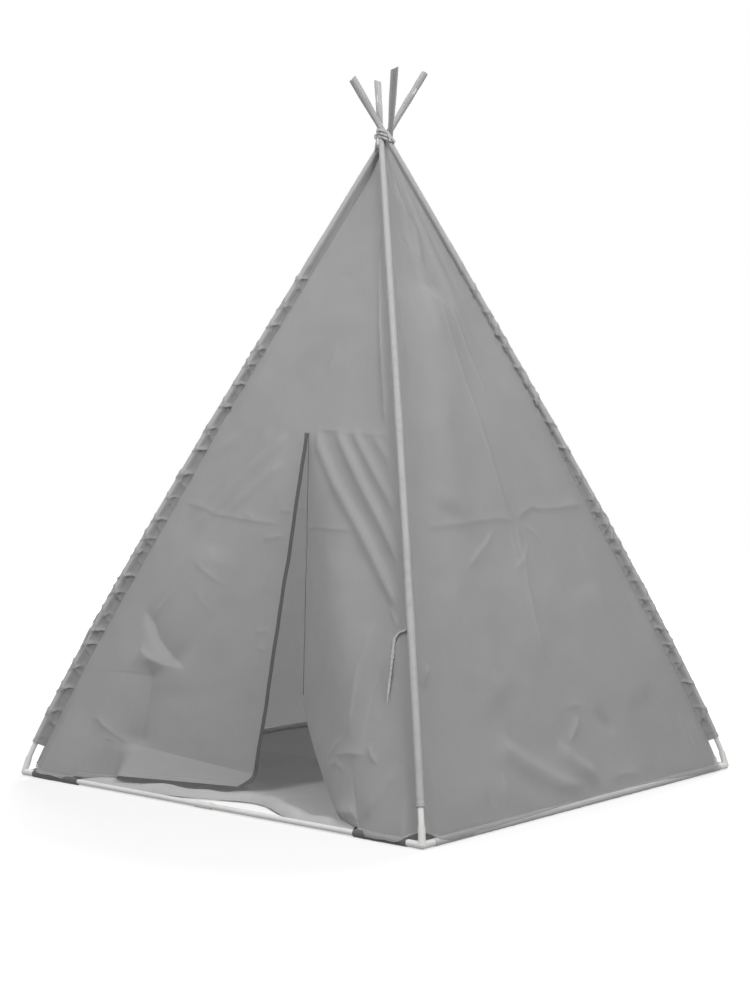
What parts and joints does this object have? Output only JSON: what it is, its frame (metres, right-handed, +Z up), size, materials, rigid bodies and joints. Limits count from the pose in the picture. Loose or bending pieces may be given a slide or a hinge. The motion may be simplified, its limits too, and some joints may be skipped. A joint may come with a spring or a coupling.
{
  "type": "kids teepee",
  "caption": "Play tent with a square base of push-fit tubes, bowed poles tied at the top, a grey cloth cover and two door flaps.",
  "frame": {"origin": "middle of the base, on the ground", "axes": "+Z up, -Y out of the door face, +X to the right of someone who faces the inside from the door"},
  "size_m": [1.2164, 1.2164, 1.676],
  "materials": {
    "frame_plastic": "smooth white",
    "cover_cloth": "plain woven grey",
    "floor_cloth": "plain woven dark grey",
    "ribbon": "narrow grey ribbon"
  },
  "bodies": {
    "tent": {"back_corner_connector": "frame_plastic", "back_panel": "cover_cloth", "back_pole_coupler_1": "frame_plastic", "back_pole_coupler_2": "frame_plastic", "back_pole_coupler_3": "frame_plastic", "back_pole_sleeve": "cover_cloth", "back_pole_tube_1": "frame_plastic", "back_pole_tube_2": "frame_plastic", "back_pole_tube_3": "frame_plastic", "back_pole_tube_4": "frame_plastic", "back_rail_coupler": "frame_plastic", "back_rail_tube_1": "frame_plastic", "back_rail_tube_2": "frame_plastic", "door_panel": "cover_cloth", "door_rail_coupler": "frame_plastic", "door_rail_tube_1": "frame_plastic", "door_rail_tube_2": "frame_plastic", "floor_sheet": "floor_cloth", "front_corner_connector": "frame_plastic", "front_pole_coupler_1": "frame_plastic", "front_pole_coupler_2": "frame_plastic", "front_pole_coupler_3": "frame_plastic", "front_pole_sleeve": "cover_cloth", "front_pole_tube_1": "frame_plastic", "front_pole_tube_2": "frame_plastic", "front_pole_tube_3": "frame_plastic", "front_pole_tube_4": "frame_plastic", "left_corner_connector": "frame_plastic", "left_panel": "cover_cloth", "left_pole_coupler_1": "frame_plastic", "left_pole_coupler_2": "frame_plastic", "left_pole_coupler_3": "frame_plastic", "left_pole_sleeve": "cover_cloth", "left_pole_tube_1": "frame_plastic", "left_pole_tube_2": "frame_plastic", "left_pole_tube_3": "frame_plastic", "left_pole_tube_4": "frame_plastic", "left_rail_coupler": "frame_plastic", "left_rail_tube_1": "frame_plastic", "left_rail_tube_2": "frame_plastic", "left_tie_back_ribbon": "ribbon", "right_corner_connector": "frame_plastic", "right_panel": "cover_cloth", "right_pole_coupler_1": "frame_plastic", "right_pole_coupler_2": "frame_plastic", "right_pole_coupler_3": "frame_plastic", "right_pole_sleeve": "cover_cloth", "right_pole_tube_1": "frame_plastic", "right_pole_tube_2": "frame_plastic", "right_pole_tube_3": "frame_plastic", "right_pole_tube_4": "frame_plastic", "right_rail_coupler": "frame_plastic", "right_rail_tube_1": "frame_plastic", "right_rail_tube_2": "frame_plastic", "right_tie_back_ribbon": "ribbon", "top_tie": "ribbon"},
    "left_flap": {"left_door_flap": "cover_cloth"},
    "right_flap": {"right_door_flap": "cover_cloth"}
  },
  "joints": [
    {"name": "left_flap_hinge", "type": "hinge", "parent": "tent", "child": "left_flap", "pos_m": [-0.428, -0.5988, 0.017], "axis": [-0.4505, -0.3329, -0.8284], "range_deg": [0, 132]},
    {"name": "right_flap_hinge", "type": "hinge", "parent": "tent", "child": "right_flap", "pos_m": [0.428, -0.5988, 0.017], "axis": [-0.4388, 0.3351, 0.8338], "range_deg": [0, 145]}
  ]
}
